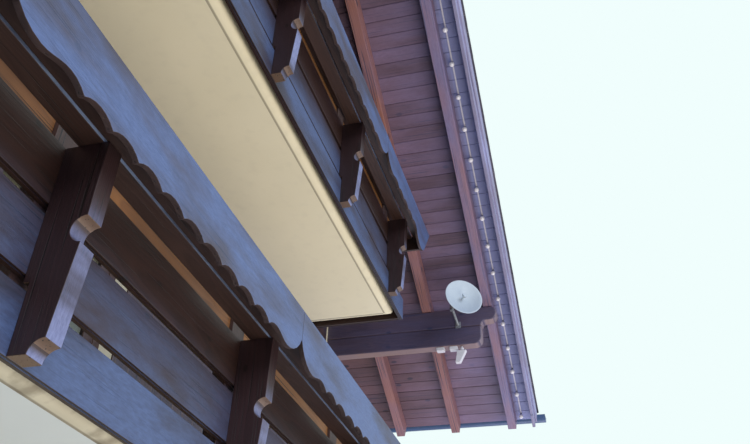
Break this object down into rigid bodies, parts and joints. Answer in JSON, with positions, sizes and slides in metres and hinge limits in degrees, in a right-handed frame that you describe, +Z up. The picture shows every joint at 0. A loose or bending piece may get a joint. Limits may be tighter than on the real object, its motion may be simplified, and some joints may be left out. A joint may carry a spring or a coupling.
{
  "type": "alpine chalet gable front",
  "caption": "Gable front of an alpine chalet: timber balconies with scalloped aprons and flower boxes on plastered slabs, under a deep boarded roof on carved purlins.",
  "frame": {"origin": "on the ground, at the middle of the part's bounding box", "axes": "+Z up, +X along the front towards the corner with the dish, -Y out of the front to the street"},
  "size_m": [16.3472, 6.49, 9.8365],
  "materials": {
    "cast_concrete": "smooth cast concrete",
    "cream_plaster": "cream lime plaster, matt",
    "party_plaster": "plain grey-white plaster, matt",
    "dark_timber": "dark brown stain, satin",
    "brown_timber": "brown stain, satin",
    "warm_timber": "orange-brown stain, sheltered and unfaded",
    "roof_timber": "red-brown stain, matt",
    "roof_tiles": "dark engobed clay tiles",
    "blue_sheet_metal": "dark blue coil coating",
    "window_glass": "clear double glazing",
    "dish_paint": "white powder coat",
    "galvanised_steel": "galvanised",
    "cable_sheath": "pale weatherproof sheath",
    "frosted_bulb": "frosted white cover",
    "planted_box": "dark stained box with soil"
  },
  "bodies": {
    "root": {"ground_slab": "cast_concrete", "lower_floor_slab": "cream_plaster", "upper_floor_slab": "cream_plaster", "ground_front_wall": "cream_plaster", "lower_front_wall": "cream_plaster", "gable_wall": "cream_plaster", "left_wall": "cream_plaster", "right_wall": "cream_plaster", "party_wall": "party_plaster", "lower_soffit_moulding": "cream_plaster", "upper_soffit_moulding": "cream_plaster", "lower_posts": "brown_timber", "upper_posts": "brown_timber", "lower_boards": "dark_timber", "upper_boards": "dark_timber", "lower_brackets": "dark_timber", "upper_brackets": "dark_timber", "lower_rail_boards": "warm_timber", "upper_rail_boards": "warm_timber", "lower_handrail": "brown_timber", "upper_handrail": "brown_timber", "lower_shelf": "dark_timber", "upper_shelf": "dark_timber", "lower_apron": "brown_timber", "upper_apron": "brown_timber", "lower_flower_boxes": "planted_box", "upper_flower_boxes": "planted_box", "purlins": "dark_timber", "corbels": "dark_timber", "rafters": "roof_timber", "eaves_infill": "roof_timber", "roof_boarding": "roof_timber", "bargeboards": "roof_timber", "roof_cover": "roof_tiles", "ridge_cap": "roof_tiles", "gutters": "blue_sheet_metal", "gutter_brackets": "galvanised_steel", "doors": "brown_timber", "window_frames": "brown_timber", "glazing": "window_glass", "dish": "dish_paint", "dish_arm": "galvanised_steel", "floodlight": "dish_paint", "light_cable": "cable_sheath", "light_bulbs": "frosted_bulb"}
  },
  "joints": []
}
